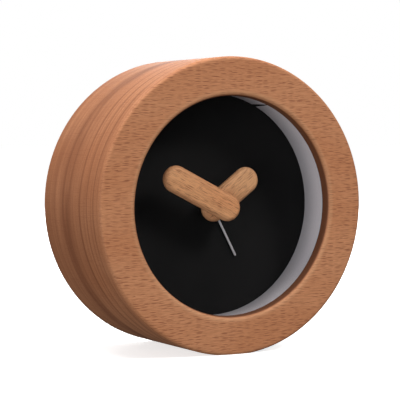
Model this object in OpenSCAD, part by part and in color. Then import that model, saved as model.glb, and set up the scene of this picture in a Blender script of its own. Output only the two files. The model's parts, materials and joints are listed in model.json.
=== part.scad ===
// Round beech mantel alarm clock with a deep black dial, rounded wooden hands and a quartz movement.
// Millimetres. The clock rests on a narrow flat at Z = 0, its axis runs along Y and it faces -Y.
// Inside each piece, "local" x is to the right, y is up from the clock axis and z points at the viewer.

/* [Case] */

// Outer diameter of the wooden case
case_d = 110; // [106:1:140]
// Depth of the wooden case, front to back
case_depth = 50; // [46:1:64]
// Wood between the outside and the main bore
wall_t = 11.5; // [10:0.5:11.5]
// Radius of the round opening in the front face
opening_r = 40.6; // [34:0.1:41.5]
// Thickness of the wooden lip that stands in front of the lens
lip_t = 4.4; // [3:0.1:5.5]
// Rounding of the case edges
edge_r = 1.2; // [0.5:0.1:1.5]
// Width of the flat the case stands on
flat_w = 14; // [8:1:24]
// Depth of the recess in the back
rear_recess = 6; // [5.5:0.5:8]
// Radial width of the ledge that carries the rear cover
ledge_w = 4.5; // [4.5:0.5:5]

/* [Dial and lens] */

// Distance from the front face to the dial
dial_setback = 19; // [18.6:0.1:20]
// Thickness of the lens
lens_t = 1.5; // [1:0.1:1.8]
// Radial thickness of the pale spacer ring
spacer_t = 1.5; // [1:0.1:2.2]
// Width of the seam where the spacer ring's ends meet
seam_w = 0.6; // [0.4:0.1:1.5]
// Thickness of the black dial
dial_t = 1; // [0.6:0.1:1.2]
// Thickness of the plywood plate behind the dial
backplate_t = 3; // [2.5:0.1:3.2]
// Radial thickness of the rear spacer ring
rear_ring_t = 1.8; // [1:0.1:2]

/* [Hands] */

// Width of the wooden hands
hand_w = 10; // [9:0.5:12]
// Thickness of the wooden hands
hand_t = 4; // [3.6:0.1:4.2]
// Edge rounding of the wooden hands
hand_round = 1.8; // [1:0.1:1.8]
// Distance from the axis to the centre of the minute hand's round tip
minute_reach = 22.3; // [16:0.1:28]
// Distance from the axis to the centre of the hour hand's round tip
hour_reach = 15.1; // [12:0.1:20]
// Distance from the axis to the centre of the wooden hands' round tails
hand_tail = 2; // [0.5:0.1:6]
// Direction of the minute hand, anticlockwise from 3 o'clock
minute_angle = 153.3; // [-180:0.1:180]
// Direction of the hour hand, anticlockwise from 3 o'clock
hour_angle = 37; // [-180:0.1:180]
// Direction of the alarm hand, anticlockwise from 3 o'clock
alarm_angle = -62; // [-180:0.1:180]
// Length of the alarm hand from the axis
alarm_reach = 22.3; // [14:0.1:32]
// Width of the alarm hand
alarm_w = 0.8; // [0.5:0.1:1.6]

/* [Movement] */

// Width and height of the movement case
movement_w = 56; // [56:0.1:56.6]
// Depth of the movement case
movement_depth = 18; // [18:0.1:18.5]
// Wall thickness of the movement case
shell_t = 1.2; // [1:0.1:1.4]
// Module of the motion work gears
work_module = 0.35; // [0.34:0.01:0.36]
// Module of the fast train gears
train_module = 0.2; // [0.19:0.01:0.21]
// Radial clearance of a running shaft
run_gap = 0.05; // [0.02:0.01:0.1]
// Radius of the minute arbor
minute_arbor_r = 1.75; // [1.5:0.05:1.8]
// Radius of the setting knobs
knob_r = 5; // [4:0.1:7]
// Length of the setting knobs
knob_h = 4.4; // [3:0.1:4.6]
// Number of grooves round a knob
knob_grooves = 18; // [8:1:24]
// Travel of the alarm switch
switch_travel = 4; // [2:0.5:6]
// Radius of the AA cell
cell_r = 7.25; // [6.8:0.05:7.25]
// Length of the AA cell without its nub
cell_len = 49.2; // [46:0.1:49.4]

/* [Rear cover] */

// Thickness of the rear cover
cover_t = 2; // [1.6:0.1:2.4]
// Thickness of the battery door
door_t = 1.6; // [1.2:0.1:1.8]
// Radius of the battery door's hinge pins
hinge_pin_r = 0.8; // [0.6:0.05:1]
// Gap around the battery door
door_gap = 0.3; // [0.2:0.05:0.5]
// Shank radius of the cover screws
cover_screw_r = 1.1; // [0.9:0.05:1.3]
// Shank radius of the movement screws
ear_screw_r = 1.2; // [1:0.05:1.3]

/* [Hidden] */

$fn = 96;
cut = 1;

// Case, all z values local
case_r = case_d / 2;
axis_z = sqrt(case_r * case_r - flat_w * flat_w / 4);
front_z = case_depth / 2;
rear_z = -case_depth / 2;
bore_r = case_r - wall_t;
lip_z = front_z - lip_t;
lens_z = lip_z - lens_t;
fit_gap = 0.1;
drop_in_r = bore_r - fit_gap;
dial_z = front_z - dial_setback;
dial_back_z = dial_z - dial_t;
plate_z = dial_back_z - backplate_t;
cover_z = rear_z + rear_recess;
ledge_z = cover_z + cover_t;
recess_r = bore_r + ledge_w;
cover_gap = 0.2;
screw_ring_r = bore_r + ledge_w / 2;
screw_angles = [45, 135, 225, 315];
pilot_depth = 9;
pilot_gap = 0.05;
screw_head_r = 1.9;
screw_head_t = 1.2;
screw_slot_l = 2;
screw_slot_w = 0.5;
screw_clearance = 0.2;
seam_angle = 63.4;
seam_slant = 2;

// Movement, z values run back from the plywood plate
case_front_z = plate_z;
plate_back_z = case_front_z - shell_t;
split_z = case_front_z - movement_depth / 2;
case_back_z = case_front_z - movement_depth;
back_wall_z = case_back_z + shell_t;
half_w = movement_w / 2;
case_low_y = -30;
case_high_y = case_low_y + movement_w;
corner_r = 3;
partition_y = -13.3;
partition_t = 0.8;
boss_r = 5;
boss_h = 3.6;
dial_hole_r = boss_r + 0.2;
ear_x = half_w + 3.5;
ear_ys = [10, -14];
ear_r = 3;
ear_t = 2;
ear_back_z = case_front_z - ear_t;
ear_gap = 0.1;
ear_head_r = 2.4;
ear_head_t = 1.4;
ear_tip_gap = 0.4;
bay_gap = 0.3;

// Tubes and arbors on the clock axis
hour_tube_in = minute_arbor_r + run_gap;
hour_tube_r = hour_tube_in + 0.7;
alarm_tube_in = hour_tube_r + run_gap;
alarm_tube_r = alarm_tube_in + 0.9;
boss_bore_r = alarm_tube_r + run_gap;
rear_pivot_r = 0.6;
clutch_flange_r = 2.6;
flange_t = 0.4;

// Gear layers
layer_t = 1.2;
layer_step = 1.8;
alarm_layer_z = plate_back_z - layer_step;
hour_layer_z = alarm_layer_z - layer_step;
minute_layer_z = hour_layer_z - layer_step;
middle_front_z = minute_layer_z - 0.2;
middle_t = 0.6;
middle_back_z = middle_front_z - middle_t;
train_t = 0.8;
sink = 0.1;
end_shake = 0.2;
pinion_h = 1.9;
centre_layer_z = middle_back_z - 1;
third_layer_z = centre_layer_z - layer_step;
second_layer_z = third_layer_z - layer_step;
inter_layer_z = second_layer_z - layer_step;
bridge_t = 1;
bridge_z = inter_layer_z - layer_step;
bridge_front_z = bridge_z + bridge_t;

// Tooth counts
cannon_n = 15;
minute_wheel_n = 45;
minute_pinion_n = 12;
hour_n = 48;
alarm_n = 48;
alarm_set_n = 24;
time_set_n = 15;
centre_n = 64;
third_n = 60;
third_pinion_n = 8;
second_n = 50;
second_pinion_n = 8;
inter_n = 48;
inter_pinion_n = 10;
rotor_n = 8;

// Tooth form
pressure = 20;
work_add = 0.75;
train_add = 0.45;
root_depth = 1.1;
work_backlash = 0.12;
train_backlash = 0.1;

// Directions from one gear to the next, and where that puts each arbor
to_minute_wheel = 180;
to_time_set = 121;
to_alarm_set = 45;
to_third = -30;
third_to_second = 60;
second_to_inter = -20;
inter_to_rotor = -60;
minute_wheel_at = step([0, 0], to_minute_wheel, centres(cannon_n, minute_wheel_n, work_module));
time_set_at = step(minute_wheel_at, to_time_set, centres(minute_wheel_n, time_set_n, work_module));
alarm_set_at = step([0, 0], to_alarm_set, centres(alarm_n, alarm_set_n, work_module));
third_at = step([0, 0], to_third, centres(centre_n, third_pinion_n, train_module));
second_at = step(third_at, third_to_second, centres(third_n, second_pinion_n, train_module));
inter_at = step(second_at, second_to_inter, centres(second_n, inter_pinion_n, train_module));
rotor_at = step(inter_at, inter_to_rotor, centres(inter_n, rotor_n, train_module));

// Phase of each gear, so that every pair is in mesh at rest
minute_wheel_turn = mesh(to_minute_wheel, 0, cannon_n, minute_wheel_n);
hour_turn = mesh(to_minute_wheel + 180, 0, minute_pinion_n, hour_n);
time_set_turn = mesh(to_time_set, minute_wheel_turn, minute_wheel_n, time_set_n);
alarm_set_turn = mesh(to_alarm_set, 0, alarm_n, alarm_set_n);
third_pinion_turn = mesh(to_third, 0, centre_n, third_pinion_n);
second_pinion_turn = mesh(third_to_second, 0, third_n, second_pinion_n);
inter_pinion_turn = mesh(second_to_inter, 0, second_n, inter_pinion_n);
rotor_turn = mesh(inter_to_rotor, 0, inter_n, rotor_n);

// Pivots and posts
pivot_r = 0.5;
set_pivot_r = 0.8;
time_shaft_r = 1.2;
alarm_shaft_r = 1;
loose_gap = 0.35;
middle_low = [-25, -11.9];
middle_high = [24.5, 9.9];
bridge_low = [-4, -11.9];
bridge_high = [21.5, 10.3];
bridge_posts = [[-2.5, -9.6], [1.5, 8.8], [15.5, 8.8], [12.7, -10.5]];
bridge_post_r = 1.2;
middle_posts = [[-19.5, -10.5], [-22.5, 8], [19.8, 8.4], [22, -10.4]];
middle_post_r = 1.3;
board_posts = [[-23, 16], [6.6, 22.4]];

// Stepper motor
magnet_r = 1.9;
magnet_h = 2;
magnet_z = third_layer_z - 0.8;
stator_t = 0.8;
stator_z = magnet_z + (magnet_h - stator_t) / 2;
stator_hole_r = magnet_r + 0.4;
stator_left = rotor_at[0] - 3.6;
stator_right = rotor_at[0] + 3.5;
stator_low = rotor_at[1] - 6.9;
stator_high = rotor_at[1] + 3.1;
stator_front_z = stator_z + stator_t;
stator_arm_x = rotor_at[0];
coil_x = 24.2;
coil_low = stator_low;
coil_high = 13.5;
coil_foot = 2.5;
core_w = 2;
core_t = 0.8;
core_z = stator_z - core_t;
coil_r = 2.2;
coil_end_gap = 0.3;

// Electronics
board_left = -25.5;
board_right = 9;
board_low = 13.5;
board_high = 24.3;
board_t = 0.8;
board_z = middle_back_z - 3.6;
buzzer_at = [18.5, 17.2];
buzzer_r = 6.5;
buzzer_h = 4.3;
buzzer_z = plate_back_z - buzzer_h;
buzzer_hole_r = 1.2;
buzzer_hole_depth = 1.5;
chip_at = [-14, 19];
chip_base_r = 2.6;
chip_base_t = 0.6;
chip_top_r = 1.8;
chip_t = 1;
crystal_at = [-23.5, 21.5];
crystal_r = 1;
crystal_len = 6;

// AA cell
cell_y = -21;
cell_z = split_z - 0.4;
nub_r = 2.75;
nub_h = 1.3;
contact_t = 0.4;
contact_w = 9;
contact_x = half_w - shell_t - contact_t;
cell_right = contact_x - nub_h;
cell_left = cell_right - cell_len;
spring_wire_r = 0.4;
spring_big_r = 3.6;
spring_small_r = 2.4;
spring_run = cell_left + contact_x - 2 * spring_wire_r;
spring_pitch = 1.3 * spring_wire_r;
spring_gaps = ceil(spring_run / spring_pitch);
spring_sink = 0.05;

// Hands, z of the lower face
stack_gap = 0.5;
lens_gap = 1.1;
minute_hand_z = lens_z - lens_gap - hand_t;
hour_hand_z = minute_hand_z - stack_gap - hand_t;
bush_wall = 1.3;
hour_bush_h = 2.5;
minute_bush_h = 2.5;
alarm_hand_z = dial_z + 0.5;
alarm_hand_t = 0.4;
alarm_front_z = alarm_hand_z + alarm_hand_t;
tube_proud = 0.05;
alarm_hub_r = alarm_tube_r + 0.9;

// Switch, knobs, door
switch_at = [-4, 21];
stem_w = 2;
slot_gap = 0.3;
stem_lap = 0.7;
keeper = [5.6, 3.8];
keeper_lift = 0.2;
keeper_t = 1;
nib_w = 1.2;
nib_gap = 0.3;
cap = [6, 4];
cap_gap = 0.3;
cap_t = 1.9;
cap_front_z = cover_z - cap_gap;
cap_back_z = cap_front_z - cap_t;
ridge_w = 0.5;
ridge_h = 0.4;
knob_gap = 0.6;
knob_front_z = cover_z - knob_gap;
knob_back_z = knob_front_z - knob_h;
groove_r = 0.6;
groove_out = 0.25;
knob_floor = 1.5;
knob_step = 1;
knob_step_h = 0.8;
knob_rim = 1.6;
knob_dish = 0.4;
door_half_w = 26.4;
door_low_y = -28.4;
door_high_y = -13.4;
door_recess = 0.4;
door_z = ledge_z - door_recess - door_t;
barrel_r = 1.4;
hinge_gap = 0.2;
hinge_y = door_low_y - 2.2;
hinge_z = cover_z - barrel_r - hinge_gap;
lug_w = 3;
lug_x = 22.6;
lug_wall = 0.2;
lug_sink = 0.5;
strap_back = 0.4;
strap_front = 1.3;
strap_foot = 2;
strap_sink = 0.2;
notch_r = 7;
notch_w = 14;
notch_inset = 2.5;
notch_rise = 6.4;
sound_pitch = 3;
sound_hole_r = 0.8;

function centres(a, b, m) = m * (a + b) / 2;
function step(from, a, d) = [from[0] + d * cos(a), from[1] + d * sin(a)];
function mesh(dir, turn, a, b) = dir + 180 + (dir - turn) * a / b + 180 / b;
function involute(a) = tan(a) * 180 / PI - a;
function half_tooth(r, base, at_pitch) =
    at_pitch + involute(pressure) - involute(acos(min(1, base / r)));
function tooth(c, radii, base, at_pitch) = concat(
    [for (r = radii) polar(r, c - half_tooth(r, base, at_pitch))],
    [for (i = [len(radii) - 1:-1:0]) polar(radii[i], c + half_tooth(radii[i], base, at_pitch))]
);
function polar(r, a) = [r * cos(a), r * sin(a)];
function flank(root, base, pitch, tip) = base > root + 0.02
    ? [root, base, (pitch + tip) / 2, tip]
    : [root, pitch, tip];

body();
lens();
spacer_ring();
dial();
backplate();
rear_spacer_ring();
rear_cover();
cover_screws();
battery_door();
movement_front_case();
movement_back_case();
movement_screws();
middle_plate();
train_bridge();
circuit_board();
driver_chip();
quartz_crystal();
buzzer();
battery();
battery_contact_positive();
battery_contact_negative();
stator();
coil_core();
coil_winding();
rotor();
rotor_magnet();
intermediate_wheel();
second_wheel();
third_wheel();
centre_wheel();
minute_wheel();
minute_arbor();
hour_wheel();
alarm_wheel();
minute_hand();
minute_hand_bush();
hour_hand();
hour_hand_bush();
alarm_hand();
time_set_arbor();
time_set_knob();
alarm_set_arbor();
alarm_set_knob();
alarm_switch();

// From the local frame of the clock axis to the frame of the part
module in_clock() {
    translate([0, 0, axis_z]) rotate([90, 0, 0]) children();
}

// Cylinder from z0 to z1 at a local point
module post(at, r, z0, z1) {
    translate([at[0], at[1], z0]) cylinder(r = r, h = z1 - z0);
}

// Block between two local corners
module block(a, b) {
    translate(a) cube(b - a);
}

// Rectangle with four true round corners
module soft_rect(x0, x1, y0, y1, r) {
    translate([x0 + r, y0]) square([x1 - x0 - 2 * r, y1 - y0]);
    translate([x0, y0 + r]) square([x1 - x0, y1 - y0 - 2 * r]);
    for (x = [x0 + r, x1 - r]) {
        for (y = [y0 + r, y1 - r]) {
            translate([x, y]) circle(r = r);
        }
    }
}

// Ring between two radii
module ring(r_in, r_out, z0, z1) {
    translate([0, 0, z0]) {
        difference() {
            cylinder(r = r_out, h = z1 - z0);
            translate([0, 0, -cut]) cylinder(r = r_in, h = z1 - z0 + 2 * cut);
        }
    }
}

// Spur gear, one layer thick, with a tooth centred on the given turn
module gear(at, n, m, add, backlash, turn, z0, h) {
    pitch = m * n / 2;
    base = pitch * cos(pressure);
    at_pitch = 90 / n - backlash / 4 / pitch * 180 / PI;
    radii = flank(pitch - root_depth * m, base, pitch, pitch + add * m);
    teeth = [for (i = [0:n - 1]) each tooth(turn + i * 360 / n, radii, base, at_pitch)];
    translate([at[0], at[1], z0]) linear_extrude(h) polygon(teeth);
}

module work_gear(at, n, turn, z0, h = layer_t) {
    gear(at, n, work_module, work_add, work_backlash, turn, z0, h);
}

module train_gear(at, n, turn, z0, h = train_t) {
    gear(at, n, train_module, train_add, train_backlash, turn, z0, h);
}

// ---- Case ----

module body() {
    color([0.76, 0.56, 0.38]) in_clock() {
        difference() {
            rotate_extrude() soft_rect(opening_r, case_r, rear_z, front_z, edge_r);
            translate([0, 0, rear_z - cut]) cylinder(r = bore_r, h = lip_z - rear_z + cut);
            translate([0, 0, rear_z - cut]) cylinder(r = recess_r, h = ledge_z - rear_z + cut);
            for (a = screw_angles) {
                pilot = polar(screw_ring_r, a);
                post(pilot, cover_screw_r + pilot_gap, ledge_z - cut, ledge_z + pilot_depth);
            }
            translate([-case_r, -axis_z - case_r, rear_z - cut]) {
                cube([case_d, case_r, case_depth + 2 * cut]);
            }
        }
    }
}

module lens() {
    color([0.85, 0.92, 0.98, 0.35]) in_clock() {
        translate([0, 0, lens_z]) cylinder(r = drop_in_r, h = lens_t);
    }
}

module spacer_ring() {
    color([0.85, 0.85, 0.86]) in_clock() {
        difference() {
            ring(drop_in_r - spacer_t, drop_in_r, dial_z, lens_z);
            rotate([0, 0, seam_angle]) {
                translate([drop_in_r, 0, (dial_z + lens_z) / 2]) rotate([seam_slant, 0, 0]) {
                    cube([4 * spacer_t, seam_w, 3 * (lens_z - dial_z)], center = true);
                }
            }
        }
    }
}

module dial() {
    color([0.03, 0.03, 0.03]) in_clock() {
        ring(dial_hole_r, drop_in_r, dial_back_z, dial_z);
    }
}

module backplate() {
    color([0.8, 0.68, 0.5]) in_clock() {
        difference() {
            ring(dial_hole_r, drop_in_r, plate_z, dial_back_z);
            at_ears() {
                post([0, 0], ear_screw_r + pilot_gap, plate_z - cut, dial_back_z + cut);
            }
        }
    }
}

module rear_spacer_ring() {
    color([0.2, 0.2, 0.21]) in_clock() {
        ring(drop_in_r - rear_ring_t, drop_in_r, ledge_z, plate_z);
    }
}

module rear_cover() {
    color([0.07, 0.07, 0.07]) in_clock() {
        difference() {
            union() {
                translate([0, 0, cover_z]) cylinder(r = recess_r - cover_gap, h = cover_t);
                for (side = [-1, 1]) {
                    hinge_lug(side);
                }
            }
            for (a = screw_angles) {
                post(polar(screw_ring_r, a), cover_screw_r + screw_clearance, cover_z - cut, ledge_z + cut);
            }
            post(time_set_at, time_shaft_r + loose_gap, cover_z - cut, ledge_z + cut);
            post(alarm_set_at, alarm_shaft_r + loose_gap, cover_z - cut, ledge_z + cut);
            switch_slot(cover_z - cut, ledge_z + cut);
            sound_holes(cover_z - cut, ledge_z + cut);
            block(
                [-door_half_w - door_gap, door_low_y - door_gap, cover_z - cut],
                [door_half_w + door_gap, door_high_y + door_gap, ledge_z + cut]
            );
            translate([0, hinge_y, hinge_z]) rotate([0, 90, 0]) {
                cylinder(r = hinge_pin_r + 2 * run_gap, h = 4 * door_half_w, center = true);
            }
        }
    }
}

// One lug of the battery door's hinge, on the outside of the cover
module hinge_lug(side) {
    translate([side * (lug_x + lug_w / 2 + door_gap) - lug_w / 2, hinge_y, hinge_z]) {
        rotate([0, 90, 0]) cylinder(r = barrel_r + lug_wall, h = lug_w);
        translate([0, -barrel_r - lug_wall, 0]) {
            cube([lug_w, 2 * (barrel_r + lug_wall), cover_z - hinge_z + lug_sink]);
        }
    }
}

module cover_screws() {
    color([0.1, 0.1, 0.1]) in_clock() {
        for (a = screw_angles) {
            spot = polar(screw_ring_r, a);
            difference() {
                union() {
                    post(spot, screw_head_r, cover_z - screw_head_t, cover_z);
                    post(spot, cover_screw_r, cover_z - cut, ledge_z + pilot_depth - cut);
                }
                translate([spot[0], spot[1], cover_z - screw_head_t]) cross_slot();
            }
        }
    }
}

// Cross recess in a screw head
module cross_slot() {
    cube([screw_slot_l, screw_slot_w, screw_head_t], center = true);
    cube([screw_slot_w, screw_slot_l, screw_head_t], center = true);
}

module battery_door() {
    color([0.09, 0.09, 0.09]) in_clock() {
        difference() {
            union() {
                block([-door_half_w, door_low_y, door_z], [door_half_w, door_high_y, door_z + door_t]);
                block([-lug_x, hinge_y, hinge_z - strap_back], [lug_x, door_low_y, hinge_z + strap_front]);
                block(
                    [-lug_x, door_low_y, hinge_z - strap_back],
                    [lug_x, door_low_y + strap_foot, door_z + strap_sink]
                );
                translate([0, hinge_y, hinge_z]) rotate([0, 90, 0]) {
                    cylinder(r = barrel_r, h = 2 * lug_x, center = true);
                    cylinder(r = hinge_pin_r, h = 2 * (lug_x + lug_w), center = true);
                }
            }
            translate([0, door_high_y - notch_inset, door_z - notch_rise]) rotate([0, 90, 0]) {
                cylinder(r = notch_r, h = notch_w, center = true);
            }
        }
    }
}

// ---- Movement case ----

// Children at each of the four fixing ears
module at_ears() {
    for (side = [-1, 1]) {
        for (y = ear_ys) {
            translate([side * ear_x, y, 0]) children();
        }
    }
}

module case_outline(inset) {
    soft_rect(
        -half_w + inset, half_w - inset, case_low_y + inset, case_high_y - inset,
        corner_r - inset
    );
}

module case_wall(z0, z1) {
    translate([0, 0, z0]) linear_extrude(z1 - z0) {
        difference() {
            case_outline(0);
            case_outline(shell_t);
        }
    }
    block(
        [-half_w + shell_t / 2, partition_y, z0],
        [half_w - shell_t / 2, partition_y + partition_t, z1]
    );
}

module movement_front_case() {
    color([0.92, 0.92, 0.9]) in_clock() {
        difference() {
            union() {
                translate([0, 0, plate_back_z]) linear_extrude(shell_t) case_outline(0);
                case_wall(split_z, plate_back_z + shell_t / 2);
                post([0, 0], boss_r, plate_back_z, case_front_z + boss_h);
                for (p = middle_posts) {
                    post(p, middle_post_r, middle_front_z, plate_back_z + shell_t / 2);
                }
                for (p = board_posts) {
                    post(p, middle_post_r, board_z + board_t, plate_back_z + shell_t / 2);
                }
                at_ears() {
                    post([0, 0], ear_r, ear_back_z, case_front_z);
                }
                for (side = [-1, 1]) {
                    for (y = ear_ys) {
                        ear_arm(side, y);
                    }
                }
            }
            post([0, 0], boss_bore_r, plate_back_z - cut, case_front_z + boss_h + cut);
            post(minute_wheel_at, pivot_r + run_gap, plate_back_z - cut, case_front_z + cut);
            post(time_set_at, set_pivot_r + run_gap, plate_back_z - cut, case_front_z + cut);
            post(alarm_set_at, set_pivot_r + run_gap, plate_back_z - cut, case_front_z + cut);
            at_ears() {
                post([0, 0], ear_screw_r + ear_gap, ear_back_z - cut, case_front_z + cut);
            }
        }
    }
}

// Bar that joins an ear to the side of the case
module ear_arm(side, y) {
    translate([side * (half_w + ear_x) / 2, y, case_front_z - ear_t / 2]) {
        cube([ear_x - half_w + shell_t, 2 * ear_r, ear_t], center = true);
    }
}

module movement_back_case() {
    color([0.12, 0.12, 0.12]) in_clock() {
        difference() {
            union() {
                translate([0, 0, case_back_z]) linear_extrude(shell_t) case_outline(0);
                case_wall(case_back_z + shell_t / 2, split_z);
            }
            block(
                [-half_w + 2 * shell_t, case_low_y + shell_t, case_back_z - cut],
                [half_w - 2 * shell_t, partition_y - bay_gap, back_wall_z + cut]
            );
            post(time_set_at, time_shaft_r + run_gap, case_back_z - cut, back_wall_z + cut);
            post(alarm_set_at, alarm_shaft_r + run_gap, case_back_z - cut, back_wall_z + cut);
            switch_slot(case_back_z - cut, back_wall_z + cut);
            sound_holes(case_back_z - cut, back_wall_z + cut);
        }
    }
}

// Slot the alarm switch slides in
module switch_slot(z0, z1) {
    half = stem_w / 2 + slot_gap;
    block(
        [switch_at[0] - half, switch_at[1] - half, z0],
        [switch_at[0] + switch_travel + half, switch_at[1] + half, z1]
    );
}

// Three rows of small holes over the buzzer
module sound_holes(z0, z1) {
    for (i = [-1:1]) {
        for (j = [-1:1]) {
            post(buzzer_at + [i * sound_pitch, j * sound_pitch], sound_hole_r, z0, z1);
        }
    }
}

module movement_screws() {
    color([0.75, 0.75, 0.77]) in_clock() {
        at_ears() {
            difference() {
                union() {
                    post([0, 0], ear_head_r, ear_back_z - ear_head_t, ear_back_z);
                    post([0, 0], ear_screw_r, ear_back_z - cut, dial_back_z - ear_tip_gap);
                }
                translate([0, 0, ear_back_z - ear_head_t]) cross_slot();
            }
        }
    }
}

// Flat plate between two corners, from z0 to z1
module plate(low, high, z0, z1) {
    block([low[0], low[1], z0], [high[0], high[1], z1]);
}

module middle_plate() {
    color([0.85, 0.83, 0.75]) in_clock() {
        difference() {
            plate(middle_low, middle_high, middle_back_z, middle_front_z);
            post([0, 0], minute_arbor_r + run_gap, middle_back_z - cut, middle_front_z + cut);
            for (p = [minute_wheel_at, third_at, second_at, inter_at, rotor_at]) {
                post(p, pivot_r + run_gap, middle_back_z - cut, middle_front_z + cut);
            }
            post(time_set_at, time_shaft_r + loose_gap, middle_back_z - cut, middle_front_z + cut);
            post(alarm_set_at, alarm_shaft_r + loose_gap, middle_back_z - cut, middle_front_z + cut);
        }
    }
}

module train_bridge() {
    color([0.8, 0.78, 0.7]) in_clock() {
        difference() {
            union() {
                plate(bridge_low, bridge_high, bridge_z, bridge_front_z);
                for (p = bridge_posts) {
                    post(p, bridge_post_r, bridge_front_z - cut / 2, middle_back_z);
                }
            }
            post([0, 0], rear_pivot_r + run_gap, bridge_z - cut, bridge_front_z + cut);
            for (p = [third_at, second_at, inter_at, rotor_at]) {
                post(p, pivot_r + run_gap, bridge_z - cut, bridge_front_z + cut);
            }
            post(alarm_set_at, alarm_shaft_r + loose_gap, bridge_z - cut, bridge_front_z + cut);
        }
    }
}

// ---- Electronics ----

module circuit_board() {
    color([0.1, 0.35, 0.2]) in_clock() {
        block([board_left, board_low, board_z], [board_right, board_high, board_z + board_t]);
    }
}

module driver_chip() {
    color([0.05, 0.05, 0.05]) in_clock() {
        post(chip_at, chip_base_r, board_z - chip_base_t, board_z);
        post(chip_at, chip_top_r, board_z - chip_t, board_z - chip_base_t + sink);
    }
}

module quartz_crystal() {
    color([0.78, 0.79, 0.8]) in_clock() {
        translate([crystal_at[0], crystal_at[1], board_z - crystal_r]) rotate([0, 90, 0]) {
            cylinder(r = crystal_r, h = crystal_len);
        }
    }
}

module buzzer() {
    color([0.08, 0.08, 0.09]) in_clock() {
        difference() {
            post(buzzer_at, buzzer_r, buzzer_z, plate_back_z);
            post(buzzer_at, buzzer_hole_r, buzzer_z - cut, buzzer_z + buzzer_hole_depth);
        }
    }
}

module battery() {
    color([0.2, 0.2, 0.22]) in_clock() {
        translate([cell_left, cell_y, cell_z]) rotate([0, 90, 0]) {
            cylinder(r = cell_r, h = cell_len);
            translate([0, 0, cell_len - cut]) cylinder(r = nub_r, h = nub_h + cut);
        }
    }
}

// Flat contact whose near face stands at x
module contact_plate(x) {
    block(
        [x, cell_y - contact_w / 2, cell_z - contact_w / 2],
        [x + contact_t, cell_y + contact_w / 2, cell_z + contact_w / 2]
    );
}

module battery_contact_positive() {
    color([0.8, 0.8, 0.82]) in_clock() {
        contact_plate(contact_x);
    }
}

module battery_contact_negative() {
    color([0.8, 0.8, 0.82]) in_clock() {
        contact_plate(-contact_x - contact_t);
        translate([spring_wire_r - contact_x, cell_y, cell_z]) rotate([0, 90, 0]) {
            for (i = [0:spring_gaps]) {
                part_way = i / spring_gaps;
                ring_r = spring_big_r + part_way * (spring_small_r - spring_big_r);
                translate([0, 0, part_way * spring_run - spring_sink]) rotate_extrude() {
                    translate([ring_r, 0]) circle(r = spring_wire_r);
                }
            }
        }
    }
}

// ---- Stepper motor ----

module stator() {
    color([0.55, 0.56, 0.58]) in_clock() {
        difference() {
            union() {
                block([stator_left, stator_low, stator_z], [stator_right, stator_high, stator_front_z]);
                block([stator_arm_x, rotor_at[1], stator_z], [stator_right, coil_high, stator_front_z]);
                for (y = [coil_low, coil_high - coil_foot]) {
                    block([stator_arm_x, y, stator_z], [coil_x + core_w, y + coil_foot, stator_front_z]);
                }
            }
            post(rotor_at, stator_hole_r, stator_z - cut, stator_front_z + cut);
        }
    }
}

// Flat bar of the coil's core between two y values
module core(y0, y1) {
    block([coil_x - core_w / 2, y0, core_z], [coil_x + core_w / 2, y1, core_z + core_t]);
}

module coil_core() {
    color([0.5, 0.5, 0.52]) in_clock() {
        core(coil_low, coil_high);
    }
}

module coil_winding() {
    color([0.72, 0.36, 0.14]) in_clock() {
        low = coil_low + coil_foot + coil_end_gap;
        high = coil_high - coil_foot - coil_end_gap;
        difference() {
            translate([coil_x, low, core_z + core_t / 2]) rotate([-90, 0, 0]) {
                cylinder(r = coil_r, h = high - low);
            }
            core(low - cut, high + cut);
        }
    }
}

module rotor() {
    color([0.9, 0.9, 0.88]) in_clock() {
        train_pivot(rotor_at);
        train_gear(rotor_at, rotor_n, rotor_turn, inter_layer_z - sink, train_t + 2 * sink);
    }
}

module rotor_magnet() {
    color([0.3, 0.3, 0.32]) in_clock() {
        translate([rotor_at[0], rotor_at[1], 0]) ring(pivot_r, magnet_r, magnet_z, magnet_z + magnet_h);
    }
}

// Wheel of the fast train with its arbor and the pinion that drives the next wheel
module train_wheel(at, n, pinion_n, pinion_turn, z) {
    train_pivot(at);
    train_gear(at, n, 0, z);
    train_gear(at, pinion_n, pinion_turn, z + train_t - sink, pinion_h);
}

module train_pivot(at) {
    post(at, pivot_r, bridge_z + end_shake, middle_front_z - end_shake);
}

module intermediate_wheel() {
    color([0.93, 0.93, 0.9]) in_clock() {
        train_wheel(inter_at, inter_n, inter_pinion_n, inter_pinion_turn, inter_layer_z);
    }
}

module second_wheel() {
    color([0.93, 0.93, 0.9]) in_clock() {
        train_wheel(second_at, second_n, second_pinion_n, second_pinion_turn, second_layer_z);
    }
}

module third_wheel() {
    color([0.93, 0.93, 0.9]) in_clock() {
        train_wheel(third_at, third_n, third_pinion_n, third_pinion_turn, third_layer_z);
    }
}

module centre_wheel() {
    color([0.93, 0.93, 0.9]) in_clock() {
        difference() {
            train_gear([0, 0], centre_n, 0, centre_layer_z);
            post([0, 0], minute_arbor_r + run_gap, centre_layer_z - cut, centre_layer_z + train_t + cut);
        }
    }
}

// ---- Motion work ----

module minute_arbor() {
    color([0.85, 0.7, 0.4]) in_clock() {
        post([0, 0], minute_arbor_r, centre_layer_z - flange_t, minute_hand_z + minute_bush_h - sink);
        post([0, 0], clutch_flange_r, centre_layer_z - sink - flange_t, centre_layer_z - sink);
        post([0, 0], rear_pivot_r, bridge_z + end_shake, centre_layer_z);
        work_gear([0, 0], cannon_n, 0, minute_layer_z);
    }
}

module minute_wheel() {
    color([0.93, 0.93, 0.9]) in_clock() {
        post(minute_wheel_at, pivot_r, middle_back_z + sink, case_front_z - end_shake);
        work_gear(minute_wheel_at, minute_wheel_n, minute_wheel_turn, minute_layer_z);
        work_gear(minute_wheel_at, minute_pinion_n, 0, minute_layer_z + layer_t - sink, pinion_h);
    }
}

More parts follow.
